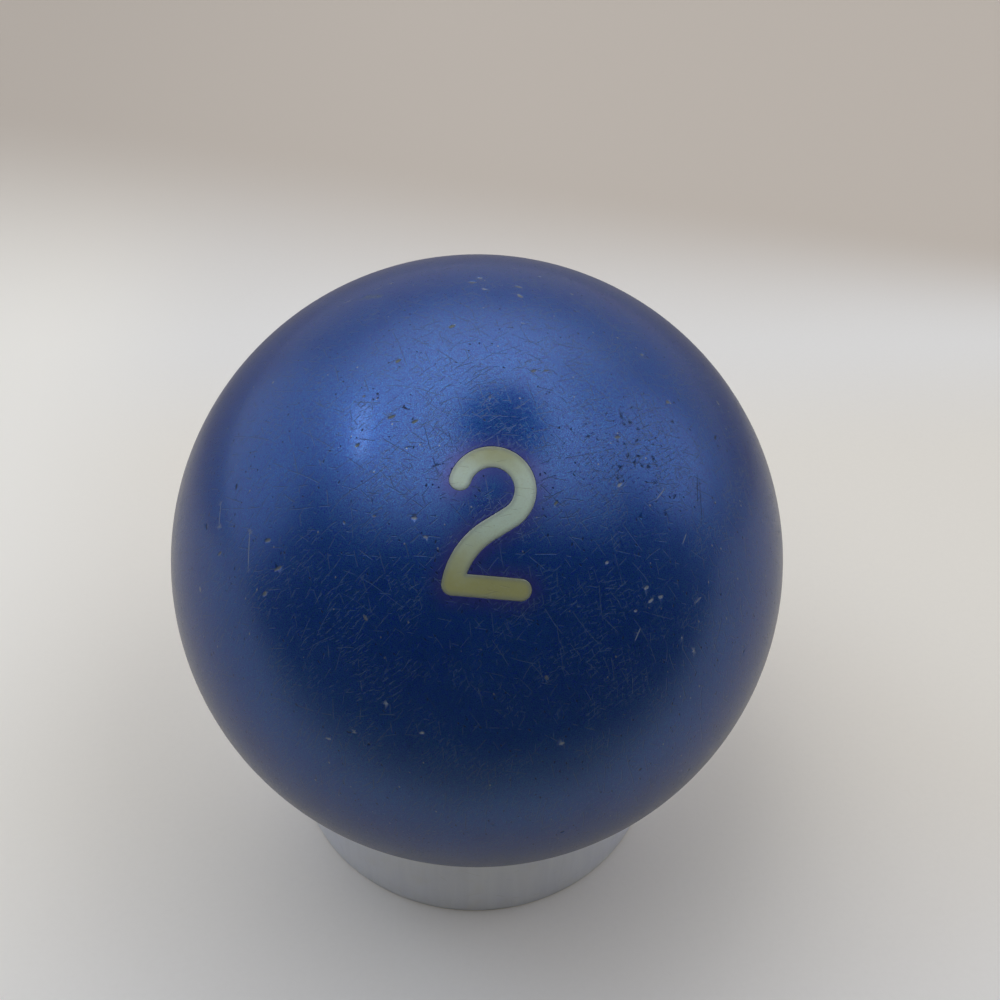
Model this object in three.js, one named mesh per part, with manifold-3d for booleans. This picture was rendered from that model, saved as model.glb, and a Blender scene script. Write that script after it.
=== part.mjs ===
// A hard numbered ball that rests in a short plastic ring.
// The ball is pressed on a watch's screw-down back and turned by hand, and is put back in the ring.
// Millimetres, +Z up, origin at the centre of the ring's foot, the front numeral facing -Y and up.
import * as THREE from "three";
import { mergeVertices } from "three/addons/utils/BufferGeometryUtils.js";
import Module from "manifold-3d";

// Ball
const BALL_DIAMETER = 57.15;
const BALL_MERIDIANS = 72;
const BALL_PARALLELS = 36;
const BALL_TILT = 39.6; // degrees that the front numeral leans back from facing straight up
const BALL_ROLL = -6; // degrees that the numeral is turned about its own axis

// Ring
const RING_OUTER_RADIUS = 19.8;
const RING_WALL = 1.8;
const RING_HEIGHT = 9.8;
const RING_LIP_RADIUS = 0.6;
const RING_FOOT_RADIUS = 0.4;
const RING_FOOT_CHAMFER = 0.3;
const RING_SIDES = 72;
const SEAT_WIDTH = 0.6; // width, across the wall, of the band that the ball rests on
const SEAT_GAP = 0.3;
const SEAT_STEPS = 3;
const ROUNDING_STEPS = 4;

// Numeral: the centre line of its stroke, in a plane with +X to its right and +Y to its top
const STROKE_WIDTH = 1.6;
const BOWL_CENTRE = new THREE.Vector2(-0.18, 2.13);
const BOWL_RADIUS = 2.41;
const BOWL_START = 168; // degrees, where the upper end of the stroke lies on the bowl
const DIAGONAL_ANGLE = 36.5; // degrees below level
const FOOT_RADIUS = 5.6; // of the curve that leads down into the corner
const CORNER = new THREE.Vector2(-2.44, -4.87);
const BASE_LENGTH = 4.9;
const INLAY_DEPTH = 2; // below the crown of the ball
const POCKET_GAP = 0.3;
const ARC_STEPS = 6;

const BALL_RADIUS = BALL_DIAMETER / 2;
const RING_INNER_RADIUS = RING_OUTER_RADIUS - RING_WALL;

const seatRadius = BALL_RADIUS + SEAT_GAP;
const seatOuterRadius = RING_INNER_RADIUS + SEAT_WIDTH;
const ballCentreHeight = RING_HEIGHT + Math.sqrt(seatRadius ** 2 - seatOuterRadius ** 2);

const radians = THREE.MathUtils.degToRad;
const wasm = await Module();
wasm.setup();

function solidOf(geometry) {
  const bare = geometry.clone();
  bare.deleteAttribute("normal");
  bare.deleteAttribute("uv");
  const merged = mergeVertices(bare, 1e-4);
  const vertProperties = new Float32Array(merged.attributes.position.array);
  const triVerts = new Uint32Array(merged.index.array);
  return new wasm.Manifold(new wasm.Mesh({ numProp: 3, vertProperties, triVerts }));
}

function geometryOf(solid) {
  const { vertProperties, triVerts } = solid.getMesh();
  const geometry = new THREE.BufferGeometry();
  geometry.setAttribute("position", new THREE.BufferAttribute(vertProperties, 3));
  geometry.setIndex(new THREE.BufferAttribute(triVerts, 1));
  geometry.computeVertexNormals();
  return geometry;
}

function namedMesh(name, geometry, material) {
  const mesh = new THREE.Mesh(geometry, material);
  mesh.name = name;
  return mesh;
}

function arcPoints(centreX, centreY, radius, from, to, steps) {
  const arc = new THREE.EllipseCurve(centreX, centreY, radius, radius, from, to, to < from);
  return arc.getPoints(steps);
}

// The ring's section goes up its outer wall, over the lip, down the seat and down the bore.
function ringSection() {
  const quarter = Math.PI / 2;
  const footArcX = RING_OUTER_RADIUS - RING_FOOT_RADIUS;
  const lipArcX = RING_OUTER_RADIUS - RING_LIP_RADIUS;
  const lipArcY = RING_HEIGHT - RING_LIP_RADIUS;
  const seatFrom = -Math.acos(seatOuterRadius / seatRadius);
  const seatTo = -Math.acos(RING_INNER_RADIUS / seatRadius);
  const section = [
    new THREE.Vector2(RING_INNER_RADIUS + RING_FOOT_CHAMFER, 0),
    ...arcPoints(footArcX, RING_FOOT_RADIUS, RING_FOOT_RADIUS, -quarter, 0, ROUNDING_STEPS),
    ...arcPoints(lipArcX, lipArcY, RING_LIP_RADIUS, 0, quarter, ROUNDING_STEPS),
    ...arcPoints(0, ballCentreHeight, seatRadius, seatFrom, seatTo, SEAT_STEPS),
    new THREE.Vector2(RING_INNER_RADIUS, RING_FOOT_CHAMFER),
  ];
  return [...section, section[0].clone()];
}

function ringStand() {
  const geometry = new THREE.LatheGeometry(ringSection(), RING_SIDES);
  geometry.rotateX(Math.PI / 2);
  const material = new THREE.MeshStandardMaterial({ color: 0xc3c6d2, roughness: 0.45, metalness: 0 });
  return namedMesh("ring_stand", geometry, material);
}

// Centre of the curve that leaves the diagonal smoothly and passes through the corner.
function footCentre(diagonalStart, heading, towardsCentre) {
  const toCorner = diagonalStart.clone().addScaledVector(towardsCentre, FOOT_RADIUS).sub(CORNER);
  const along = toCorner.dot(heading);
  const run = -along - Math.sqrt(along ** 2 - toCorner.lengthSq() + FOOT_RADIUS ** 2);
  return toCorner.add(CORNER).addScaledVector(heading, run);
}

// Outline of the figure 2: a stroke with round ends that is grown by the given margin on all sides.
function numeralShape(margin) {
  const half = STROKE_WIDTH / 2 + margin;
  const level = radians(DIAGONAL_ANGLE);
  const bowlFrom = radians(BOWL_START);
  const bowlTo = level - Math.PI / 2;
  const footFrom = level + Math.PI / 2;
  const strokeEnd = new THREE.Vector2(Math.cos(bowlFrom), Math.sin(bowlFrom));
  strokeEnd.multiplyScalar(BOWL_RADIUS).add(BOWL_CENTRE);
  const outward = new THREE.Vector2(Math.cos(bowlTo), Math.sin(bowlTo));
  const heading = new THREE.Vector2(-Math.cos(level), -Math.sin(level));
  const diagonalStart = BOWL_CENTRE.clone().addScaledVector(outward, BOWL_RADIUS);
  const foot = footCentre(diagonalStart, heading, outward);
  const cornerAngle = Math.atan2(CORNER.y - foot.y, CORNER.x - foot.x);
  const innerRadius = FOOT_RADIUS - half;
  const innerCornerAngle = Math.PI - Math.asin((CORNER.y + half - foot.y) / innerRadius);
  const baseEnd = new THREE.Vector2(CORNER.x + BASE_LENGTH, CORNER.y);

  const shape = new THREE.Shape();
  shape.absarc(BOWL_CENTRE.x, BOWL_CENTRE.y, BOWL_RADIUS + half, bowlFrom, bowlTo, true);
  shape.absarc(foot.x, foot.y, innerRadius, footFrom, innerCornerAngle, false);
  shape.absarc(baseEnd.x, baseEnd.y, half, Math.PI / 2, -Math.PI / 2, true);
  shape.absarc(CORNER.x, CORNER.y, half, -Math.PI / 2, cornerAngle, true);
  shape.absarc(foot.x, foot.y, FOOT_RADIUS + half, cornerAngle, footFrom, true);
  shape.absarc(BOWL_CENTRE.x, BOWL_CENTRE.y, BOWL_RADIUS - half, bowlTo, bowlFrom, false);
  shape.absarc(strokeEnd.x, strokeEnd.y, half, bowlFrom + Math.PI, bowlFrom, true);
  return shape;
}

// The numeral as an upright block that starts below the ball's crown and ends above it.
function numeralBlock(margin, turn) {
  const depth = INLAY_DEPTH + margin;
  const options = { depth: depth + 1, bevelEnabled: false, curveSegments: ARC_STEPS };
  const geometry = new THREE.ExtrudeGeometry(numeralShape(margin), options);
  geometry.translate(0, 0, BALL_RADIUS - depth);
  geometry.rotateY(turn);
  return solidOf(geometry);
}

const NUMERALS = [
  { name: "numeral_front", turn: 0 },
  { name: "numeral_back", turn: Math.PI },
];

function ballParts() {
  const sphere = solidOf(new THREE.SphereGeometry(BALL_RADIUS, BALL_MERIDIANS, BALL_PARALLELS));
  const resin = new THREE.MeshStandardMaterial({ color: 0x17388a, roughness: 0.3, metalness: 0.4 });
  const inlay = new THREE.MeshStandardMaterial({ color: 0xc8cda6, roughness: 0.4, metalness: 0 });
  const body = NUMERALS.reduce(
    (solid, { turn }) => solid.subtract(numeralBlock(POCKET_GAP, turn)),
    sphere,
  );
  const ball = new THREE.Group();
  ball.add(namedMesh("ball_body", geometryOf(body), resin));
  for (const { name, turn } of NUMERALS) {
    const solid = sphere.intersect(numeralBlock(0, turn));
    ball.add(namedMesh(name, geometryOf(solid), inlay.clone()));
  }
  ball.position.z = ballCentreHeight;
  ball.rotation.set(radians(BALL_TILT), 0, radians(BALL_ROLL));
  return ball;
}

const model = new THREE.Group();
model.add(ringStand(), ballParts());
export default model;
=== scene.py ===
"""A hard numbered ball in a short plastic ring: fine meshes and procedural materials around the CAD frame."""
import math
import random

import bpy
from mathutils import Matrix, Quaternion, Vector, noise
from mathutils.geometry import delaunay_2d_cdt
from mathutils.kdtree import KDTree


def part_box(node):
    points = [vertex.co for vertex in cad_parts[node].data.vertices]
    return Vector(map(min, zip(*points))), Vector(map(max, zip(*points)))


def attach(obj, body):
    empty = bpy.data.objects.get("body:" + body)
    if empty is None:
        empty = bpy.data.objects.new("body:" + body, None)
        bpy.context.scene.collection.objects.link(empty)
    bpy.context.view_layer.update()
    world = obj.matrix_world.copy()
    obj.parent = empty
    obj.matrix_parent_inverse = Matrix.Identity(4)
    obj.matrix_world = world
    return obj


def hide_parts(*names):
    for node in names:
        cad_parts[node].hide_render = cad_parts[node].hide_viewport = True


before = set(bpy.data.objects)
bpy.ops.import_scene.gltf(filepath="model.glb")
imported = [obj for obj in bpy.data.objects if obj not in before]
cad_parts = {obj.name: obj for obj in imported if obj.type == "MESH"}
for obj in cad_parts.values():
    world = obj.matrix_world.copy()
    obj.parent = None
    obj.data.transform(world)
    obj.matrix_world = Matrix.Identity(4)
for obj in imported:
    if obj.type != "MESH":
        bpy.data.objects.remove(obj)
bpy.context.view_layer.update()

MM = 0.001
TURN = 2 * math.pi

# ---------------------------------------------------------------- sizes read from the frame, in metres
ball_low, ball_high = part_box("ball_body")
ring_low, ring_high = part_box("ring_stand")
BALL_CENTRE = (Vector(ball_low) + Vector(ball_high)) / 2
BALL_RADIUS = max(ball_high[i] - ball_low[i] for i in range(3)) / 2
RING_OUTER_RADIUS = (ring_high[0] - ring_low[0]) / 2
RING_HEIGHT = ring_high[2]

# ---------------------------------------------------------------- how the ball lies in its ring
BALL_TILT = math.radians(39.6)
BALL_ROLL = math.radians(-6)
BALL_MATRIX = (
    Matrix.Translation(BALL_CENTRE)
    @ Matrix.Rotation(BALL_TILT, 4, "X")
    @ Matrix.Rotation(BALL_ROLL, 4, "Z")
)
RING_MATRIX = Matrix.Identity(4)


# ================================================================ camera
CAMERA_LENS = 39.6
CAMERA_SENSOR = 36.0
CAMERA_DISTANCE = 3.736 * BALL_RADIUS
CAMERA_AZIMUTH = math.radians(-2.94)
CAMERA_ELEVATION = math.radians(45)
CAMERA_HEADING = math.radians(4.37)
CAMERA_PITCH = math.radians(42.04)
CAMERA_ROLL = math.radians(1.98)


def direction(heading, pitch):
    """Unit vector at a heading from +Y towards +X, and a pitch above the horizon."""
    level = math.cos(pitch)
    return Vector((math.sin(heading) * level, math.cos(heading) * level, math.sin(pitch)))


def make_camera():
    data = bpy.data.cameras.new("camera")
    data.lens = CAMERA_LENS
    data.sensor_width = CAMERA_SENSOR
    data.clip_start = 5 * MM
    camera = bpy.data.objects.new("camera", data)
    towards = direction(-CAMERA_AZIMUTH, -CAMERA_ELEVATION)
    camera.location = BALL_CENTRE - towards * CAMERA_DISTANCE
    camera.rotation_mode = "QUATERNION"
    forward = direction(CAMERA_HEADING, -CAMERA_PITCH)
    roll = Quaternion((0, 0, 1), CAMERA_ROLL)
    camera.rotation_quaternion = forward.to_track_quat("-Z", "Y") @ roll
    bpy.context.collection.objects.link(camera)
    bpy.context.scene.camera = camera


# ================================================================ node helpers
class Graph:
    """Adds nodes to a tree with short calls. A value is a number, a tuple or another node's output."""

    def __init__(self, tree):
        self.tree = tree

    def add(self, kind, inputs=None, **settings):
        node = self.tree.nodes.new("ShaderNode" + kind)
        for name, value in settings.items():
            setattr(node, name, value)
        for name, value in (inputs or {}).items():
            self.feed(node.inputs[name], value)
        return node

    def feed(self, socket, value):
        if isinstance(value, bpy.types.NodeSocket):
            self.tree.links.new(value, socket)
        else:
            socket.default_value = value

    def math(self, operation, *values, clamp=False):
        node = self.add("Math", operation=operation, use_clamp=clamp)
        for socket, value in zip(node.inputs, values):
            self.feed(socket, value)
        return node.outputs[0]

    def smooth(self, value, start, end, low=0.0, high=1.0):
        """Goes smoothly from low at start to high at end; start may be above end."""
        if start > end:
            start, end, low, high = end, start, high, low
        sizes = {"From Min": start, "From Max": end, "To Min": low, "To Max": high}
        node = self.add("MapRange", {"Value": value, **sizes}, interpolation_type="SMOOTHSTEP")
        return node.outputs["Result"]

    def mix(self, factor, first, second):
        node = self.add("Mix", data_type="RGBA")
        self.feed(node.inputs[0], factor)
        self.feed(node.inputs[6], first)
        self.feed(node.inputs[7], second)
        return node.outputs[2]

    def noise(self, vector, scale, detail=2.0, roughness=0.5):
        inputs = {"Vector": vector, "Scale": scale, "Detail": detail, "Roughness": roughness}
        return self.add("TexNoise", inputs).outputs["Fac"]

    def cells(self, vector, scale, feature="F1"):
        inputs = {"Vector": vector, "Scale": scale}
        return self.add("TexVoronoi", inputs, feature=feature)

    def turned(self, vector, rotation=(0, 0, 0), scale=(1, 1, 1)):
        """Turns a vector and then stretches it along the turned axes."""
        sizes = tuple(1 / value for value in scale)
        inputs = {"Vector": vector, "Rotation": rotation, "Scale": sizes}
        return self.add("Mapping", inputs, vector_type="TEXTURE").outputs["Vector"]

    def millimetres(self, matrix):
        """Place on the piece in the frame of the given matrix, in millimetres."""
        place = self.add("TexCoord").outputs["Object"]
        inputs = {
            "Vector": place,
            "Location": matrix.translation,
            "Rotation": matrix.to_euler(),
            "Scale": (MM, MM, MM),
        }
        return self.add("Mapping", inputs, vector_type="TEXTURE").outputs["Vector"]

    def attribute(self, name):
        return self.add("Attribute", attribute_name=name).outputs["Fac"]


def new_material(name):
    material = bpy.data.materials.new(name)
    material.use_nodes = True
    material.node_tree.nodes.clear()
    return material, Graph(material.node_tree)


def surface(graph, **inputs):
    """A Principled surface as the material's output."""
    named = {key.replace("_", " "): value for key, value in inputs.items()}
    shader = graph.add("BsdfPrincipled", named)
    output = graph.add("OutputMaterial")
    graph.tree.links.new(shader.outputs[0], output.inputs["Surface"])


# ================================================================ mesh helpers
class Builder:
    """Collects points and faces, with a few numbers for each point that materials read."""

    def __init__(self):
        self.points = []
        self.faces = []
        self.marks = {}

    def place(self, points):
        """Adds points and returns their numbers."""
        first = len(self.points)
        self.points += points
        return list(range(first, len(self.points)))

    def mark(self, name, number, value):
        self.marks.setdefault(name, {})[number] = value

    def strip(self, upper, lower):
        """Joins two closed loops with four-sided faces."""
        for i in range(len(upper)):
            j = (i + 1) % len(upper)
            self.faces.append((upper[i], upper[j], lower[j], lower[i]))

    def fill(self, numbers, flat_loop, flip):
        """Closes a loop of points with triangles, which are found in the plane of flat_loop."""
        _, triangles, (order,) = patch([flat_loop], [], lambda p: inside(p, flat_loop))
        number_of = {made: numbers[i] for i, made in enumerate(order)}
        for triangle in triangles:
            face = [number_of[i] for i in triangle]
            self.faces.append(tuple(reversed(face) if flip else face))

    def piece(self, name, matrix, material, slot_name):
        """A smooth-shaded object from the points, which are millimetres in the frame of the given matrix."""
        mesh = bpy.data.meshes.new(name)
        mesh.from_pydata([matrix @ (point * MM) for point in self.points], [], self.faces)
        mesh.polygons.foreach_set("use_smooth", [True] * len(mesh.polygons))
        for mark, values in self.marks.items():
            layer = mesh.attributes.new(mark, "FLOAT", "POINT")
            layer.data.foreach_set("value", [values.get(i, 0.0) for i in range(len(self.points))])
        mesh.materials.append(material)
        mesh.update()
        made = bpy.data.objects.new(name, mesh)
        bpy.context.collection.objects.link(made)
        return made


def patch(loops, free, keep):
    """Triangulates the plane area within the loops, and keeps the triangles whose middle passes keep.

    Returns the points, the triangles, and each loop's point numbers in order.
    """
    edges, first = [], 0
    for loop in loops:
        edges += [(first + i, first + (i + 1) % len(loop)) for i in range(len(loop))]
        first += len(loop)
    fixed = [point for loop in loops for point in loop]
    points, _, triangles, origins, _, _ = delaunay_2d_cdt(fixed + free, edges, [], 0, 1e-6)
    made_from = {old: new for new, olds in enumerate(origins) for old in olds}
    numbers, first = [], 0
    for loop in loops:
        numbers.append([made_from[first + i] for i in range(len(loop))])
        first += len(loop)
    kept = [t for t in triangles if keep(sum((points[i] for i in t), Vector((0, 0))) / 3)]
    return points, kept, numbers


def tree_of(points):
    tree = KDTree(len(points))
    for number, point in enumerate(points):
        tree.insert(point.to_3d(), number)
    tree.balance()
    return tree


def arc(centre, radius, start, end, step):
    """Points along an arc, both ends included, no further apart than step."""
    count = max(1, math.ceil(abs(end - start) * radius / step))
    angles = [start + (end - start) * i / count for i in range(count + 1)]
    return [Vector((centre[0] + radius * math.cos(a), centre[1] + radius * math.sin(a))) for a in angles]


def evened(points, step):
    """A closed loop without doubled points, with its long straight stretches divided."""
    loop = []
    for here, there in zip(points, points[1:] + points[:1]):
        gap = (there - here).length
        if gap < step / 10:
            continue
        count = max(1, round(gap / step))
        loop += [here.lerp(there, i / count) for i in range(count)]
    return loop


def inside(point, loop):
    """True if a point lies in a closed loop, counted by the edges that a ray crosses."""
    crossings = 0
    for a, b in zip(loop, loop[1:] + loop[:1]):
        if (a.y > point.y) != (b.y > point.y):
            if point.x < a.x + (point.y - a.y) * (b.x - a.x) / (b.y - a.y):
                crossings += 1
    return crossings % 2 == 1


# ================================================================ numeral outline, in millimetres
STROKE_WIDTH = 1.6
BOWL_CENTRE = Vector((-0.18, 2.13))
BOWL_RADIUS = 2.41
BOWL_START = math.radians(168)
DIAGONAL = math.radians(36.5)
FOOT_RADIUS = 5.6
CORNER = Vector((-2.44, -4.87))
BASE_LENGTH = 4.9
OUTLINE_STEP = 0.12


def numeral_outline(margin):
    """The figure 2 as a closed loop, anticlockwise, grown by margin on all sides."""
    half = STROKE_WIDTH / 2 + margin
    bowl_end = DIAGONAL - math.pi / 2
    outward = Vector((math.cos(bowl_end), math.sin(bowl_end)))
    heading = Vector((-math.cos(DIAGONAL), -math.sin(DIAGONAL)))
    to_corner = BOWL_CENTRE + outward * (BOWL_RADIUS + FOOT_RADIUS) - CORNER
    along = to_corner.dot(heading)
    run = -along - math.sqrt(along**2 - to_corner.length_squared + FOOT_RADIUS**2)
    foot = to_corner + CORNER + heading * run
    foot_start = DIAGONAL + math.pi / 2
    corner_angle = math.atan2(CORNER.y - foot.y, CORNER.x - foot.x) % TURN
    inner = FOOT_RADIUS - half
    inner_corner = math.pi - math.asin((CORNER.y + half - foot.y) / inner)
    start_point = BOWL_CENTRE + Vector((math.cos(BOWL_START), math.sin(BOWL_START))) * BOWL_RADIUS
    base_end = CORNER + Vector((BASE_LENGTH, 0))
    quarter = math.pi / 2
    loop = arc(BOWL_CENTRE, BOWL_RADIUS + half, BOWL_START, bowl_end, OUTLINE_STEP)
    loop += arc(foot, inner, foot_start, inner_corner, OUTLINE_STEP)
    loop += arc(base_end, half, quarter, -quarter, OUTLINE_STEP)
    loop += arc(CORNER, half, 3 * quarter, corner_angle, OUTLINE_STEP)
    loop += arc(foot, FOOT_RADIUS + half, corner_angle, foot_start, OUTLINE_STEP)
    loop += arc(BOWL_CENTRE, BOWL_RADIUS - half, bowl_end, BOWL_START, OUTLINE_STEP)
    loop += arc(start_point, half, BOWL_START + math.pi, BOWL_START, OUTLINE_STEP)
    return evened(loop, OUTLINE_STEP)[::-1]


# ================================================================ ball, in millimetres in the ball's frame
RADIUS = BALL_RADIUS / MM
SECTORS = 400
NUMERAL_REACH = 8.0  # of the area around a numeral that is meshed more finely
FINE_SPACING = 0.3
COARSE_SPACING = 0.6
SEAM_HALF_WIDTH = 0.03
SEAM_GAP = 0.008
SEAM_DEPTH = 0.02
POCKET_DEPTH = 2.05
INLAY_DEPTH = 2.0
INLAY_SINK = 0.008
HALO_WIDTH = 1.5
RIM_WIDTH = 0.4  # of the thinner-looking border of an inlay


def on_ball(bearing, polar):
    """A place on the ball: degrees clockwise from the front numeral's top, and degrees from its centre."""
    b, p = math.radians(bearing), math.radians(polar)
    return Vector((math.sin(p) * math.sin(b), math.sin(p) * math.cos(b), math.cos(p))) * RADIUS


def flattened(point):
    """Unrolls a point of the front half into a plane, at its true distance from the numeral's centre."""
    across = Vector((point.x, point.y))
    if across.length < 1e-9:
        return across
    return across.normalized() * (RADIUS * math.atan2(across.length, point.z))


def rounded(flat, lower=0.0):
    """The reverse of flattened, lowered below the ball's surface by the given amount."""
    polar = flat.length / RADIUS
    side = flat.normalized() if polar > 0 else flat
    point = Vector((side.x * math.sin(polar), side.y * math.sin(polar), math.cos(polar)))
    return point * (RADIUS - lower)


def above(plane_point):
    """The flattened place of the surface point that lies straight above a point of the numeral's plane."""
    height = math.sqrt(RADIUS**2 - plane_point.length_squared)
    return flattened(Vector((plane_point.x, plane_point.y, height)))


def turned_over(point):
    """Half a turn about the ball's own Y axis, which takes the front half to the back."""
    return Vector((-point.x, point.y, -point.z))


def hexagonal_grid(start, end, spacing):
    """Points of an even grid that lie between two distances from the middle."""
    pitch = spacing * math.sqrt(0.75)
    rows = int(end / pitch)
    columns = int(end / spacing) + 1
    grid = []
    for row in range(-rows, rows + 1):
        for column in range(-columns, columns + 1):
            point = Vector(((column + row % 2 / 2) * spacing, row * pitch))
            if start <= point.length < end:
                grid.append(point)
    return grid


class Dent:
    """A small hollow in the ball, with a ragged edge and perhaps a colour of its own."""

    def __init__(self, place, lie, length, width, depth, filling):
        east = Vector((0, 1, 0)).cross(place).normalized()
        north = place.cross(east).normalized()
        self.place = place
        self.along = east * math.cos(lie) + north * math.sin(lie)
        self.across = place.normalized().cross(self.along)
        self.length = length
        self.width = width
        self.depth = depth
        self.filling = filling

    def share(self, point):
        """How far into the hollow a point is: 0 outside it, 1 at its bottom."""
        away = point - self.place
        reach = math.hypot(away.dot(self.along) / self.length, away.dot(self.across) / self.width)
        ragged = reach + 0.3 * noise.noise(point * (0.8 / self.width))
        inward = min(1.0, max(0.0, (1.0 - ragged) / 0.55))
        return inward * inward * (3 - 2 * inward)

    def mesh_points(self):
        """Points over the hollow that are close enough together to carry its shape."""
        spacing = max(0.07, self.width / 4)
        reach = 1.3
        rows = math.ceil(self.width * reach / spacing)
        columns = math.ceil(self.length * reach / spacing)
        points = []
        for row in range(-rows, rows + 1):
            for column in range(-columns, columns + 1):
                u = (column + row % 2 / 2) * spacing
                v = row * spacing
                if math.hypot(u / self.length, v / self.width) < reach:
                    points.append((self.place + self.along * u + self.across * v).normalized() * RADIUS)
        return points


# Forms of mark: the least and most that its half length, half width and depth may be, in millimetres
FORMS = {
    "chip": ((0.20, 0.50), (0.14, 0.24), (0.04, 0.05)),
    "speck": ((0.16, 0.32), (0.08, 0.16), (0.03, 0.04)),
    "stroke": ((0.45, 0.90), (0.06, 0.08), (0.02, 0.04)),
    "scratch": ((1.10, 1.90), (0.06, 0.07), (0.02, 0.04)),
}
# Where marks gather, roughly: the clock hour about the front numeral, degrees from its centre and scatter in
# degrees, then how many marks, their form, the angle that they lie at and their filling
GROUPS = [
    (10.5, 20, 4, 3, "chip", 30, "ochre"),
    (10.5, 20, 4, 3, "stroke", 0, "dark"),
    (11, 35, 5, 2, "chip", 45, "ochre"),
    (8.5, 40, 7, 4, "chip", 30, "grey"),
    (9, 50, 4, 2, "scratch", 90, "pale"),
    (12, 40, 4, 3, "chip", 0, "grey"),
    (12, 40, 4, 3, "speck", 0, "pale"),
    (11, 50, 5, 3, "stroke", 30, "pale"),
    (1.5, 40, 5, 2, "chip", 0, "grey"),
    (2.5, 35, 1, 2, "scratch", 90, "dark"),
    (2.5, 10, 1, 1, "speck", 60, "ochre"),
    (9, 10, 2, 2, "speck", 0, "pale"),
    (3.5, 25, 6, 7, "speck", 30, "pale"),
    (3.5, 30, 6, 4, "stroke", 60, "pale"),
    (7, 40, 5, 3, "speck", 0, "pale"),
    (4.5, 65, 1, 1, "chip", 30, "grey"),
]
HATCH = (330, 50)  # place of a scuff made of short parallel strokes
PITTED = (60, 25)  # middle of an area that is full of small pits


def grouped_dents(rng):
    """The larger wear, drawn at random about the middle of each group."""
    dents = []
    for hour, polar, scatter, count, form, lie, filling in GROUPS:
        for _ in range(count):
            bearing = 30 * hour + rng.gauss(0, scatter) / math.sin(math.radians(polar))
            place = on_ball(bearing, polar + rng.gauss(0, scatter))
            length, width, depth = (rng.uniform(least, most) for least, most in FORMS[form])
            turn = math.radians(lie + rng.gauss(0, 12))
            dents.append(Dent(place, turn, length, width, depth, filling))
    return dents


STREWN_MARKS = 90
PIT_COUNT = 26
HATCH_STROKES = 8


def scattered_dents(rng):
    """Smaller wear, strewn over the whole ball, with one area of pits and one scuff."""
    dents = []
    for _ in range(STREWN_MARKS):
        z = rng.uniform(-0.97, 0.97)
        turn = rng.uniform(0, TURN)
        level = math.sqrt(1 - z * z)
        place = Vector((level * math.cos(turn), level * math.sin(turn), z)) * RADIUS
        width = rng.uniform(0.09, 0.17)
        length = width * rng.uniform(1.0, 2.6)
        filling = rng.choice(("dark", "dark", "pale", "grey"))
        dents.append(Dent(place, rng.uniform(0, math.pi), length, width, rng.uniform(0.02, 0.05), filling))
    for _ in range(PIT_COUNT):
        place = on_ball(PITTED[0] + rng.gauss(0, 13), PITTED[1] + rng.gauss(0, 3.5))
        width = rng.uniform(0.07, 0.11)
        dents.append(Dent(place, rng.gauss(0.6, 0.5), width * rng.uniform(1.5, 3), width, 0.03, "dark"))
    for stroke in range(HATCH_STROKES):
        place = on_ball(HATCH[0] - 1.6 + 0.42 * stroke, HATCH[1] + 1.3 - 0.38 * stroke)
        dents.append(Dent(place, math.radians(55), rng.uniform(0.3, 0.75), 0.08, 0.03, "ochre"))
    return dents


def all_dents():
    rng = random.Random(7)
    return grouped_dents(rng) + scattered_dents(rng)


def add_half(builder, spin, dents):
    """The half of the ball around one numeral, with the numeral's pocket. Returns its rim's point numbers."""
    reach = RADIUS * math.pi / 2
    turns = [TURN * i / SECTORS for i in range(SECTORS)]
    rim = [Vector((math.cos(turn), math.sin(turn))) * reach for turn in turns]
    edge = [above(p) for p in numeral_outline(SEAM_HALF_WIDTH)]
    wall_outline = numeral_outline(SEAM_GAP)
    wall = [above(p) for p in wall_outline]
    outline_tree = tree_of(edge + wall)
    free = hexagonal_grid(0, NUMERAL_REACH, FINE_SPACING)
    free += hexagonal_grid(NUMERAL_REACH, reach - COARSE_SPACING / 2, COARSE_SPACING)
    free = [p for p in free if outline_tree.find(p.to_3d())[2] > FINE_SPACING * 0.45]
    here = [dent for dent in dents if spin(dent.place).z > 0]
    dense = [flattened(spin(point)) for dent in here for point in dent.mesh_points()]
    free += [p for p in dense if p.length < reach - 0.1 and outline_tree.find(p.to_3d())[2] > 0.05]

    def outside_wall(p):
        return p.length > NUMERAL_REACH or not inside(p, wall)

    flat, triangles, (rim_order, _, lip) = patch([rim, edge, wall], free, outside_wall)
    used = sorted({i for triangle in triangles for i in triangle})
    sunk = set(lip)
    numbers = {}
    near = tree_of([dent.place for dent in dents])
    for i in used:
        point = spin(rounded(flat[i], SEAM_DEPTH if i in sunk else 0.0))
        (numbers[i],) = builder.place([point])
        distance = outline_tree.find(flat[i].to_3d())[2]
        if distance < HALO_WIDTH:
            builder.mark("halo", numbers[i], (1 - distance / HALO_WIDTH) ** 1.5)
        for _, dent_number, _ in near.find_range(point, 2.6):
            dent = dents[dent_number]
            share = dent.share(point)
            if share > 0:
                builder.points[numbers[i]] = builder.points[numbers[i]] * (1 - dent.depth * share / RADIUS)
                builder.mark(dent.filling, numbers[i], share)
    builder.faces += [tuple(numbers[i] for i in triangle) for triangle in triangles]
    bottom = builder.place([spin(Vector((p.x, p.y, RADIUS - POCKET_DEPTH))) for p in wall_outline])
    builder.strip([numbers[i] for i in lip], bottom)
    builder.fill(bottom, wall_outline, flip=False)
    return [numbers[i] for i in rim_order]


def join_rims(builder, front, back):
    """Makes the two halves share the points of their common rim."""
    same = {back[(SECTORS // 2 - i) % SECTORS]: front[i] for i in range(SECTORS)}
    builder.faces = [tuple(same.get(i, i) for i in face) for face in builder.faces]


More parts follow.
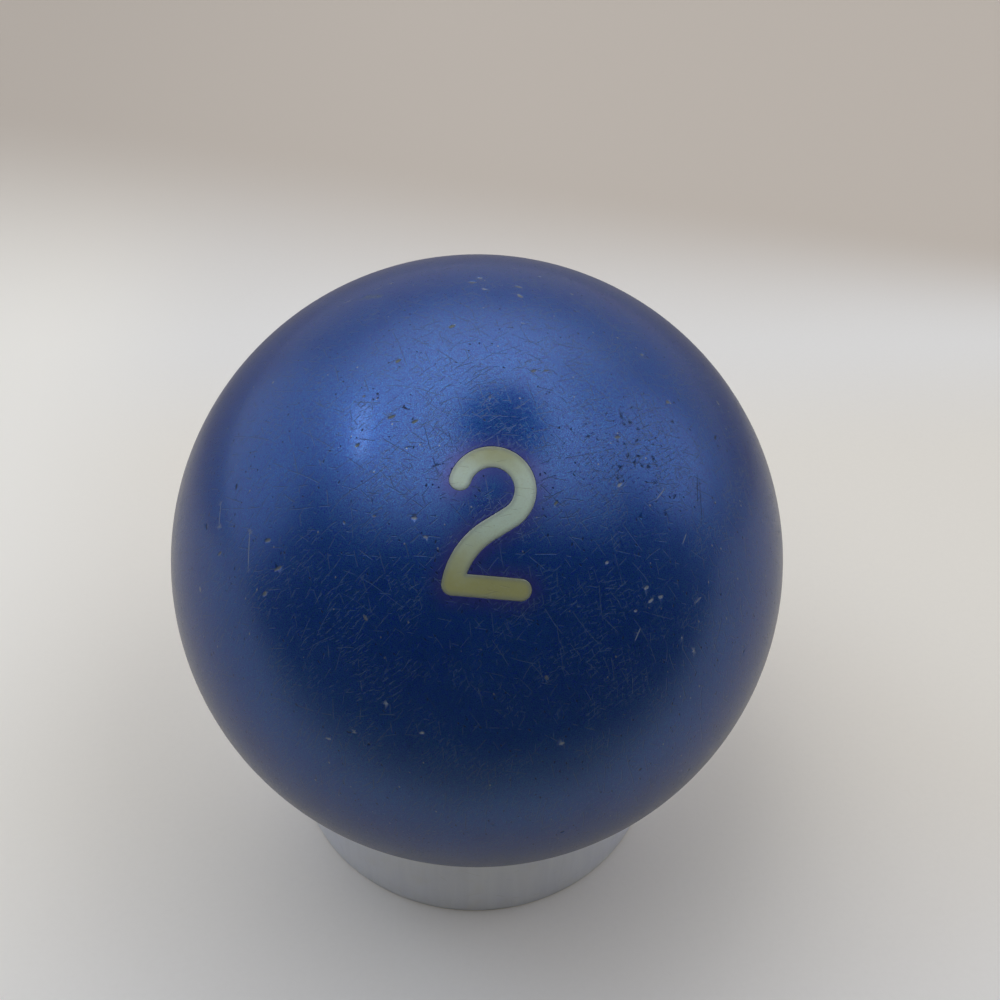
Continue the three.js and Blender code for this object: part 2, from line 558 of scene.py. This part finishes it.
def ball_builder():
    builder = Builder()
    dents = all_dents()
    front = add_half(builder, lambda p: p, dents)
    back = add_half(builder, turned_over, dents)
    join_rims(builder, front, back)
    return builder


def settle_normals(piece):
    """Gives the points that lie exactly on the ball the ball's own direction, so that its gloss is even."""
    mesh = piece.data
    normals = []
    for vertex in mesh.vertices:
        away = vertex.co - BALL_CENTRE
        if abs(away.length - BALL_RADIUS) < 1e-7:
            normals.append(away.normalized())
        else:
            normals.append(vertex.normal)
    mesh.normals_split_custom_set_from_vertices(normals)


# ================================================================ numeral inlays
def inlay_builder(spin):
    """A numeral's inlay: a slightly uneven top with a broken edge, straight walls and a flat underside."""
    builder = Builder()
    edge_outline = numeral_outline(-SEAM_HALF_WIDTH)
    wall_outline = numeral_outline(-SEAM_GAP)
    edge = [above(p) for p in edge_outline]
    wall = [above(p) for p in wall_outline]
    outline_tree = tree_of(edge + wall)
    free = [p for p in hexagonal_grid(0, NUMERAL_REACH, 0.16) if outline_tree.find(p.to_3d())[2] > 0.08]
    flat, triangles, (_, lip) = patch([edge, wall], free, lambda p: inside(p, wall))
    sunk = set(lip)
    used = sorted({i for triangle in triangles for i in triangle})
    numbers = {}
    for i in used:
        ripple = 0.004 * noise.noise(flat[i].to_3d() * 1.1)
        lower = SEAM_DEPTH if i in sunk else INLAY_SINK + ripple
        (numbers[i],) = builder.place([spin(rounded(flat[i], lower))])
        distance = outline_tree.find(flat[i].to_3d())[2]
        builder.mark("rim", numbers[i], max(0.0, 1 - distance / RIM_WIDTH))
    builder.faces += [tuple(numbers[i] for i in triangle) for triangle in triangles]
    bottom = builder.place([spin(Vector((p.x, p.y, RADIUS - INLAY_DEPTH))) for p in wall_outline])
    builder.strip(bottom, [numbers[i] for i in lip])
    builder.fill(bottom, wall_outline, flip=True)
    return builder


# ================================================================ ring, in millimetres
RING_RADIUS = RING_OUTER_RADIUS / MM
RING_TOP = RING_HEIGHT / MM
RING_WALL = 1.8
RING_LIP = 0.6
RING_FOOT = 0.4
RING_CHAMFER = 0.3
SEAT_WIDTH = 0.6
RING_SECTORS = 256
ROUNDING_STEP = 0.08
FOOT_STEPS = 4
SIDE_STEPS = 20
BORE_STEPS = 16
RING_WAVE = 0.012  # the section is shifted this far inwards, and wavers by as much about that


def ring_section():
    """The ring's section, as distances from the axis and heights.

    It goes along the foot, up the outside, over the lip and down the seat and the bore.
    """
    bore = RING_RADIUS - RING_WALL
    quarter = math.pi / 2
    ball_height = BALL_CENTRE.z / MM
    seat = math.hypot(bore + SEAT_WIDTH, ball_height - RING_TOP)
    seat_start = -math.acos((bore + SEAT_WIDTH) / seat)
    seat_end = -math.acos(bore / seat)
    outer = RING_RADIUS - RING_FOOT
    lip = RING_RADIUS - RING_LIP
    foot = bore + RING_CHAMFER
    section = [Vector((foot + (outer - foot) * i / FOOT_STEPS, 0)) for i in range(FOOT_STEPS)]
    section += arc((outer, RING_FOOT), RING_FOOT, -quarter, 0, ROUNDING_STEP)
    side = RING_TOP - RING_FOOT - RING_LIP
    section += [Vector((RING_RADIUS, RING_FOOT + side * i / SIDE_STEPS)) for i in range(1, SIDE_STEPS)]
    section += arc((lip, RING_TOP - RING_LIP), RING_LIP, 0, quarter, ROUNDING_STEP)
    section += arc((0, ball_height), seat, seat_start, seat_end, ROUNDING_STEP)
    high = section[-1].y
    fall = RING_CHAMFER - high
    section += [Vector((bore, high + fall * i / BORE_STEPS)) for i in range(1, BORE_STEPS + 1)]
    return section


def ring_builder():
    builder = Builder()
    circles = []
    for point in ring_section():
        circle = []
        for i in range(RING_SECTORS):
            turn = TURN * i / RING_SECTORS
            place = Vector((math.cos(turn) * 3, math.sin(turn) * 3, point.y * 0.25))
            across = point.x - RING_WAVE + RING_WAVE * noise.noise(place)
            circle.append(Vector((across * math.cos(turn), across * math.sin(turn), point.y)))
        circles.append(builder.place(circle))
    for upper, lower in zip(circles[1:] + circles[:1], circles):
        builder.strip(lower, upper)
    return builder


# ================================================================ materials
SCRATCH_BEND = 2.4  # how far a scratch may stray sideways, in millimetres


def hairlines(graph, place, rotation, spacing, width, share, length):
    """Thin, slightly bent, broken lines: 1 on a line, 0 off it.

    Spacing, half width and length are in millimetres.
    They lie square to the turned X axis, and fade out where the surface faces along that axis.
    """
    axes = graph.add("SeparateXYZ", {"Vector": graph.turned(place, rotation)})
    bend = graph.math("MULTIPLY", graph.noise(place, 0.12, 1.0), SCRATCH_BEND / spacing)
    track = graph.math("MULTIPLY_ADD", axes.outputs["X"], 1 / spacing, bend)
    off = graph.math("ABSOLUTE", graph.math("SUBTRACT", graph.math("FRACT", track), 0.5))
    line = graph.smooth(off, width / spacing, 0.0)
    run = graph.add("CombineXYZ", {
        "X": graph.math("MULTIPLY", graph.math("FLOOR", track), 3.7),
        "Y": graph.math("DIVIDE", axes.outputs["Y"], length),
        "Z": graph.math("DIVIDE", axes.outputs["Z"], length),
    }).outputs["Vector"]
    edge = 0.68 - 0.4 * share
    pieces = graph.smooth(graph.noise(run, 1.0, 0.0), edge, edge + 0.08)
    facing = graph.smooth(graph.math("ABSOLUTE", axes.outputs["X"]), RADIUS * 0.85, RADIUS * 0.6)
    return graph.math("MULTIPLY", graph.math("MULTIPLY", line, pieces), facing)


def total(graph, values, clamp=False):
    added = values[0]
    for value in values[1:-1]:
        added = graph.math("ADD", added, value)
    return graph.math("ADD", added, values[-1], clamp=clamp)


# Turns of the ball's fine wear. A row of SCRATCHES also has its spacing, half width and length in
# millimetres. TICKS are short dark strokes about the pitted area.
SCRATCHES = [
    ((0.2, 0.4, 0.9), 1.3, 0.045, 1.5),
    ((1.1, 0.2, 0.3), 1.6, 0.045, 1.1),
    ((0.5, 1.3, 0.6), 1.1, 0.045, 0.8),
    ((0.1, 0.7, 2.2), 1.0, 0.042, 1.2),
    ((0.8, 0.1, 1.5), 1.4, 0.050, 0.7),
    ((0.2, -0.3, -0.7), 0.9, 0.042, 0.9),
]
SCUFFS = [(0.0, 0.0, -0.8), (0.2, -0.2, -1.1), (-0.2, 0.4, -0.6), (0.1, 0.5, 0.6)]
TICKS = [(0.0, 0.0, -0.78), (0.1, 0.1, -0.95), (0.1, -0.1, 0.7)]
PITS = [(0.4, 0.9, 0.2), (1.0, 0.3, 1.1), (0.1, 0.2, 0.9)]


def specks(graph, place, rotation, spacing, radius, share, stretch=1.0):
    """Small spots: 1 in a spot, 0 between.

    Spacing and radius are in millimetres, and share is the part of the cells that have a spot.
    """
    cells = graph.cells(graph.turned(place, rotation, (1, 1 / stretch, 1)), 1 / spacing)
    spot = graph.smooth(cells.outputs["Distance"], radius / spacing, radius / spacing * 0.5)
    chance = graph.add("SeparateColor", {"Color": cells.outputs["Color"]}).outputs["Red"]
    return graph.math("MULTIPLY", spot, graph.math("LESS_THAN", chance, share))


def ball_material():
    """Deep blue resin full of fine pearl flakes, with the scratches, pits and dust of long use."""
    material, graph = new_material("ball_resin")
    place = graph.millimetres(BALL_MATRIX)
    cloud = graph.noise(place, 0.16, 3.0)
    grain = graph.noise(place, 4.5, 3.0, 0.7)
    swirl = graph.noise(graph.turned(place, (0.3, 0.5, 0.1), (1, 0.35, 0.35)), 0.5, 4.0, 0.6)
    flakes = graph.smooth(graph.noise(place, 16.0, 1.0), 0.22, 0.78)

    # wear that is too fine for the mesh
    patches = graph.noise(place, 0.30, 3.0, 0.6)
    scratches = total(graph, [
        hairlines(graph, place, rotation, spacing, width, 0.32, length)
        for rotation, spacing, width, length in SCRATCHES
    ], clamp=True)
    scuffs = total(graph, [
        hairlines(graph, place, rotation, 0.42, 0.045, 0.42, 0.4)
        for rotation in SCUFFS
    ], clamp=True)
    scuffs = graph.math("MULTIPLY", scuffs, graph.smooth(patches, 0.44, 0.58))
    away = graph.add("VectorMath", {0: place, 1: on_ball(*PITTED)}, operation="DISTANCE").outputs["Value"]
    ticks = total(graph, [
        hairlines(graph, place, rotation, 0.44, 0.050, 0.22, 0.26)
        for rotation in TICKS
    ], clamp=True)
    ticks = graph.math("MULTIPLY", ticks, graph.smooth(away, 9.5, 2.0))
    pits = total(graph, [
        specks(graph, place, rotation, 0.62, 0.085, 0.45, 2.4)
        for rotation in PITS
    ], clamp=True)
    pits = graph.math("MULTIPLY", pits, graph.smooth(patches, 0.60, 0.48))
    dust = total(graph, [
        specks(graph, place, (0.7, 0.2, 0.5), 1.0, 0.09, 0.42, 1.5),
        specks(graph, place, (0.2, 1.2, 0.8), 2.9, 0.18, 0.20, 1.8),
    ], clamp=True)
    pale, ochre = graph.attribute("pale"), graph.attribute("ochre")
    grey, dark = graph.attribute("grey"), graph.attribute("dark")
    chipped = total(graph, [pale, ochre, grey, dark], clamp=True)
    worn = [graph.math("MULTIPLY", scratches, 0.75), graph.math("MULTIPLY", scuffs, 0.6), pits, ticks]
    fine = total(graph, worn, clamp=True)

    pearl = graph.mix(graph.smooth(cloud, 0.35, 0.7), (0.0245, 0.133, 0.365, 1), (0.030, 0.154, 0.42, 1))
    pearl = graph.mix(graph.smooth(grain, 0.35, 0.75, 0.0, 0.35), pearl, (0.060, 0.20, 0.42, 1))
    pearl = graph.mix(graph.smooth(swirl, 0.55, 0.75, 0.0, 0.25), pearl, (0.010, 0.055, 0.20, 1))
    blue = graph.mix(flakes, (0.0003, 0.004, 0.26, 1), pearl)
    halo = graph.math("MULTIPLY", graph.attribute("halo"), graph.smooth(cloud, 0.2, 0.7, 0.5, 0.9))
    layers = [
        (halo, 1.0, (0.055, 0.055, 0.28, 1)),
        (scratches, 0.85, (0.050, 0.085, 0.19, 1)),
        (scuffs, 0.75, (0.060, 0.105, 0.23, 1)),
        (pits, 0.9, (0.006, 0.014, 0.05, 1)),
        (ticks, 0.6, (0.008, 0.026, 0.10, 1)),
        (dust, 0.8, (0.21, 0.24, 0.30, 1)),
        (dark, 0.85, (0.004, 0.010, 0.035, 1)),
        (pale, 0.8, (0.26, 0.29, 0.34, 1)),
        (grey, 0.8, (0.14, 0.15, 0.14, 1)),
        (ochre, 0.9, (0.125, 0.140, 0.10, 1)),
    ]
    for share, strength, colour in layers:
        blue = graph.mix(graph.math("MULTIPLY", share, strength), blue, colour)

    unchipped = graph.smooth(chipped, 0.1, 0.7, 1.0, 0.0)
    whole = graph.math("MULTIPLY", unchipped, graph.smooth(fine, 0.0, 1.0, 1.0, 0.1))
    metal = graph.math("MULTIPLY", flakes, whole)
    coat = graph.math("MULTIPLY", whole, 0.55)
    rough = graph.math("ADD", graph.smooth(grain, 0.3, 0.7, 0.27, 0.33), graph.math("MULTIPLY", fine, 0.15))
    relief = total(graph, [
        graph.math("MULTIPLY", scratches, -1.0),
        graph.math("MULTIPLY", scuffs, -0.7),
        graph.math("MULTIPLY", pits, -1.5),
        graph.math("MULTIPLY", ticks, -0.8),
        graph.math("MULTIPLY", swirl, 0.35),
        graph.math("MULTIPLY", grain, 0.10),
        dust,
    ])
    bump = graph.add("Bump", {"Height": relief, "Strength": 0.35, "Distance": 0.02 * MM}).outputs["Normal"]
    surface(
        graph,
        Base_Color=blue,
        Metallic=metal,
        Roughness=rough,
        IOR=1.55,
        Specular_Tint=(0.26, 0.32, 0.42, 1),
        Coat_Weight=coat,
        Coat_Roughness=graph.smooth(grain, 0.3, 0.7, 0.09, 0.22),
        Coat_IOR=1.5,
        Normal=bump,
        Coat_Normal=bump,
    )
    return material


def numeral_material():
    """Cream resin, from a pale greenish white to a yellow ochre, polished with the ball. The darker ochre
    gathers at the numeral's foot, partly as yellowing and partly as painted shade, and more faintly at its
    top.
    """
    material, graph = new_material("numeral_resin")
    place = graph.millimetres(BALL_MATRIX)
    height = graph.add("SeparateXYZ", {"Vector": place}).outputs["Y"]
    cloud = graph.noise(place, 0.45, 3.0)
    grain = graph.noise(place, 6.0, 3.0)
    # Painted shade: the cream turns darker and ochre towards the numeral's foot, partly as real yellowing; it
    # turns more faintly ochre at its top.
    yellowing_and_shade = graph.math("ADD", graph.smooth(height, 1.5, -5.5), graph.smooth(height, 2.0, 4.8, 0.0, 0.62))
    yellowing_and_shade = graph.math("ADD", yellowing_and_shade, graph.math("SUBTRACT", cloud, 0.5))
    cream = graph.mix(graph.smooth(yellowing_and_shade, 0.0, 1.0), (0.46, 0.59, 0.52, 1), (0.33, 0.345, 0.16, 1))
    cream = graph.mix(graph.smooth(grain, 0.45, 0.75, 0.0, 0.3), cream, (0.34, 0.37, 0.27, 1))
    cream = graph.mix(graph.smooth(graph.attribute("rim"), 0.0, 1.0, 0.0, 0.6), cream, (0.17, 0.21, 0.23, 1))
    soil = specks(graph, place, (0.4, 0.9, 0.2), 0.9, 0.07, 0.25)
    scratches = total(graph, [
        hairlines(graph, place, (0.3, 0.5, 1.9), 0.9, 0.045, 0.2, 1.2),
        hairlines(graph, place, (0.1, 0.2, 1.5), 0.5, 0.040, 0.2, 0.9),
    ], clamp=True)
    cream = graph.mix(graph.math("MULTIPLY", soil, 0.5), cream, (0.16, 0.15, 0.10, 1))
    cream = graph.mix(graph.math("MULTIPLY", scratches, 0.35), cream, (0.20, 0.22, 0.20, 1))
    rough = graph.smooth(grain, 0.3, 0.7, 0.30, 0.42)
    relief = total(graph, [
        graph.math("MULTIPLY", grain, 0.4),
        graph.math("MULTIPLY", scratches, -1.0),
        graph.math("MULTIPLY", soil, -0.8),
    ])
    bump = graph.add("Bump", {"Height": relief, "Strength": 0.35, "Distance": 0.02 * MM}).outputs["Normal"]
    surface(
        graph,
        Base_Color=cream,
        Roughness=rough,
        IOR=1.55,
        Subsurface_Weight=0.25,
        Subsurface_Radius=(0.8, 0.8, 0.4),
        Subsurface_Scale=MM,
        Coat_Weight=0.4,
        Coat_Roughness=0.16,
        Normal=bump,
        Coat_Normal=bump,
    )
    return material


def ring_material():
    """Milky, slightly bluish moulded plastic with a satin surface and very faint upright streaks, and painted
    shade that greys it towards its foot.
    """
    material, graph = new_material("ring_plastic")
    place = graph.millimetres(RING_MATRIX)
    streaks = graph.noise(graph.turned(place, scale=(1, 1, 0.08)), 0.9, 3.0)
    cloud = graph.noise(place, 0.35, 3.0)
    grain = graph.noise(place, 7.0, 3.0)
    milky = graph.mix(graph.smooth(streaks, 0.3, 0.7), (0.69, 0.73, 0.95, 1), (0.73, 0.77, 0.99, 1))
    milky = graph.mix(graph.smooth(cloud, 0.5, 0.8, 0.0, 0.2), milky, (0.60, 0.61, 0.64, 1))
    height = graph.add("SeparateXYZ", {"Vector": place}).outputs["Z"]
    # Painted shade: the plastic greys towards the foot, where the ring stands on the floor.
    foot = graph.math("ADD", graph.smooth(height, 0.9, 0.0), graph.math("SUBTRACT", cloud, 0.5))
    milky = graph.mix(graph.smooth(foot, 0.3, 1.2, 0.0, 0.3), milky, (0.40, 0.39, 0.37, 1))
    scratches = total(graph, [
        hairlines(graph, place, (0.3, 0.5, 1.9), 1.6, 0.05, 0.2, 2.0),
        hairlines(graph, place, (0.9, 1.2, 0.4), 2.0, 0.05, 0.2, 1.5),
    ], clamp=True)
    milky = graph.mix(graph.math("MULTIPLY", scratches, 0.25), milky, (0.45, 0.46, 0.50, 1))
    satin = graph.smooth(grain, 0.3, 0.7, 0.40, 0.52)
    rough = graph.math("ADD", satin, graph.math("MULTIPLY", scratches, 0.15))
    relief = total(graph, [
        graph.math("MULTIPLY", streaks, 0.6),
        graph.math("MULTIPLY", grain, 0.4),
        graph.math("MULTIPLY", scratches, -1.0),
    ])
    bump = graph.add("Bump", {"Height": relief, "Strength": 0.25, "Distance": 0.02 * MM}).outputs["Normal"]
    surface(
        graph,
        Base_Color=milky,
        Roughness=rough,
        IOR=1.5,
        Subsurface_Weight=0.6,
        Subsurface_Radius=(1.6, 1.7, 2.0),
        Subsurface_Scale=MM,
        Normal=bump,
    )
    return material


def floor_material():
    """Pale paper, warmer around the ball, with painted light that makes it lighter on the left and painted
    shade that makes it darker and warmer behind the ball.

    Reflections and bounced light meet other colours than the camera sees, mostly darker ones: painted shade,
    darkest far in front of the ball and darker behind it.
    """
    material, graph = new_material("floor_paper")
    place = graph.millimetres(RING_MATRIX)
    split = graph.add("SeparateXYZ", {"Vector": place})
    x, y = split.outputs["X"], split.outputs["Y"]
    cloud = graph.noise(place, 0.012, 2.0)
    grain = graph.noise(place, 1.6, 4.0, 0.7)
    warmth = graph.math("MULTIPLY", graph.smooth(y, 85, 50), graph.smooth(y, -40, 0))
    paper = graph.mix(warmth, (0.87, 0.865, 0.865, 1), (0.88, 0.845, 0.785, 1))
    paper = graph.mix(graph.smooth(cloud, 0.35, 0.65, 0.0, 0.2), paper, (0.80, 0.77, 0.73, 1))
    paper = graph.mix(graph.smooth(grain, 0.35, 0.75, 0.0, 0.08), paper, (0.72, 0.70, 0.67, 1))
    # Painted light: the paper turns lighter on the left, beyond x = -35 mm.
    paper = graph.mix(graph.smooth(x, -35, -75), paper, (0.955, 0.935, 0.895, 1))
    # Painted shade: behind the ball the paper turns a darker, warmer beige, darker on the left than on the
    # right.
    spread = graph.math("MAXIMUM", graph.math("MULTIPLY_ADD", x, -0.31, 72.0), 20.0)
    behind = graph.smooth(graph.math("DIVIDE", graph.math("SUBTRACT", y, 80.0), spread), 0.0, 1.0)
    back_shade = graph.mix(graph.smooth(x, -130, 20), (0.545, 0.49, 0.44, 1), (0.61, 0.55, 0.495, 1))
    paper = graph.mix(behind, paper, back_shade)
    # Painted shade for reflections: mirrored rays see the floor nearly black far in front of the ball, pale
    # near it and darker behind it.
    dim = graph.mix(graph.smooth(y, -130, -10), (0.02, 0.02, 0.02, 1), (0.65, 0.59, 0.34, 1))
    dim = graph.mix(graph.smooth(y, -75, -38), dim, (0.65, 0.60, 0.50, 1))
    dim = graph.mix(graph.smooth(y, 40, 120), dim, (0.30, 0.27, 0.24, 1))
    ray = graph.add("LightPath")
    # Painted shade: light that bounces off the floor meets a darker, warmer colour than the paper.
    bounced = graph.mix(ray.outputs["Is Glossy Ray"], (0.78, 0.74, 0.58, 1), dim)
    seen = graph.mix(ray.outputs["Is Camera Ray"], bounced, paper)
    bump = graph.add("Bump", {"Height": grain, "Strength": 0.25, "Distance": 0.05 * MM}).outputs["Normal"]
    surface(graph, Base_Color=seen, Roughness=0.8, IOR=1.4, Normal=bump)
    return material


# ================================================================ floor and light
FLOOR_HALF_WIDTH = 1.6


def make_floor():
    corners = [(-1, -1), (1, -1), (1, 1), (-1, 1)]
    mesh = bpy.data.meshes.new("floor")
    points = [(x * FLOOR_HALF_WIDTH, y * FLOOR_HALF_WIDTH, 0) for x, y in corners]
    mesh.from_pydata(points, [], [(0, 1, 2, 3)])
    mesh.materials.append(floor_material())
    floor = bpy.data.objects.new("floor", mesh)
    bpy.context.collection.objects.link(floor)


def make_world():
    """A soft studio: a bright ceiling, a pale room behind the ball and a dark one in front of it.

    A dark patch of the ceiling, and a dim one, break up its reflection in the ball.
    The ceiling is laid out in a plane at a height of 1, where across and ahead are distances from the zenith.
    """
    world = bpy.data.worlds.new("studio")
    world.use_nodes = True
    world.node_tree.nodes.clear()
    graph = Graph(world.node_tree)
    towards = graph.add("TexCoord").outputs["Generated"]
    way = graph.add("SeparateXYZ", {"Vector": towards})
    up = graph.math("MAXIMUM", way.outputs["Z"], 0.03)
    across = graph.math("DIVIDE", way.outputs["X"], up)
    ahead = graph.math("DIVIDE", way.outputs["Y"], up)

    def ellipse(x, y, half_width, half_length, softness):
        """0 inside an ellipse on the ceiling, 1 outside it."""
        u = graph.math("DIVIDE", graph.math("SUBTRACT", across, x), half_width)
        v = graph.math("DIVIDE", graph.math("SUBTRACT", ahead, y), half_length)
        squares = graph.math("ADD", graph.math("MULTIPLY", u, u), graph.math("MULTIPLY", v, v))
        return graph.smooth(graph.math("SQRT", squares), 1 - softness, 1 + softness)

    def glow(azimuth, elevation, radius):
        """1 in the middle of a soft round patch of the room, 0 outside it. Angles in degrees."""
        middle = direction(math.radians(azimuth), math.radians(elevation))
        near = graph.add("VectorMath", {0: towards, 1: middle}, operation="DOT_PRODUCT").outputs["Value"]
        return graph.smooth(near, math.cos(math.radians(radius)), math.cos(math.radians(radius * 0.3)))

    ceiling = graph.smooth(graph.math("ABSOLUTE", across), 1.7, 0.1)
    ceiling = graph.math("MULTIPLY", ceiling, graph.smooth(ahead, -1.0, -0.1))
    ceiling = graph.math("MULTIPLY", ceiling, graph.smooth(ahead, 2.0, 0.3))
    above = ellipse(0.13, 0.02, 0.26, 0.28, 0.30)
    near = ellipse(0.10, -0.75, 0.30, 0.50, 0.4)
    onlooker = graph.math("MULTIPLY", above, near)
    ceiling = graph.math("MULTIPLY", ceiling, onlooker)
    dimmer = graph.math("MULTIPLY_ADD", ellipse(0.85, 0.5, 0.35, 0.3, 0.5), 0.5, 0.5)
    ceiling = graph.math("MULTIPLY", ceiling, dimmer)
    front = graph.smooth(way.outputs["Y"], -0.5, 0.4)
    room = graph.mix(front, (0.018, 0.018, 0.02, 1), (0.44, 0.42, 0.40, 1))
    room = graph.mix(glow(-68, 14, 34), room, (0.72, 0.74, 0.78, 1))
    room = graph.mix(glow(78, 28, 24), room, (1.00, 1.03, 1.12, 1))
    room = graph.mix(graph.math("SUBTRACT", 1.0, onlooker), room, (0.015, 0.015, 0.018, 1))
    light = graph.mix(ceiling, room, (1.87, 1.86, 1.84, 1))
    seen = graph.mix(graph.add("LightPath").outputs["Is Camera Ray"], light, (0.66, 0.64, 0.60, 1))
    background = graph.add("Background", {"Color": seen})
    output = graph.add("OutputWorld")
    graph.tree.links.new(background.outputs[0], output.inputs["Surface"])
    bpy.context.scene.world = world


def make_window():
    """A narrow bluish light, high on the left, that the ball's left side reflects."""
    data = bpy.data.lights.new("window", "AREA")
    data.shape = "RECTANGLE"
    data.size = 0.30
    data.size_y = 0.08
    data.energy = 0.32
    data.color = (0.50, 0.74, 1.0)
    lamp = bpy.data.objects.new("window", data)
    towards = direction(math.radians(-78), math.radians(52))
    lamp.location = BALL_CENTRE + towards * 0.9
    lamp.rotation_mode = "QUATERNION"
    lamp.rotation_quaternion = (-towards).to_track_quat("-Z", "Y")
    bpy.context.collection.objects.link(lamp)


# ================================================================ everything
def make_object():
    ball = ball_builder().piece("ball_surface", BALL_MATRIX, ball_material(), "ball_resin")
    settle_normals(ball)
    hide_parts("ball_body")
    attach(ball, "ball")
    cream = numeral_material()
    for end, spin in (("front", lambda p: p), ("back", turned_over)):
        inlay = inlay_builder(spin).piece(f"numeral_{end}_inlay", BALL_MATRIX, cream, "numeral_resin")
        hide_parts(f"numeral_{end}")
        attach(inlay, "ball")
    ring = ring_builder().piece("ring_moulding", RING_MATRIX, ring_material(), "ring_plastic")
    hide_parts("ring_stand")
    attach(ring, "stand")


bpy.context.scene.view_settings.view_transform = "Standard"
make_camera()
make_object()
make_floor()
make_world()
make_window()
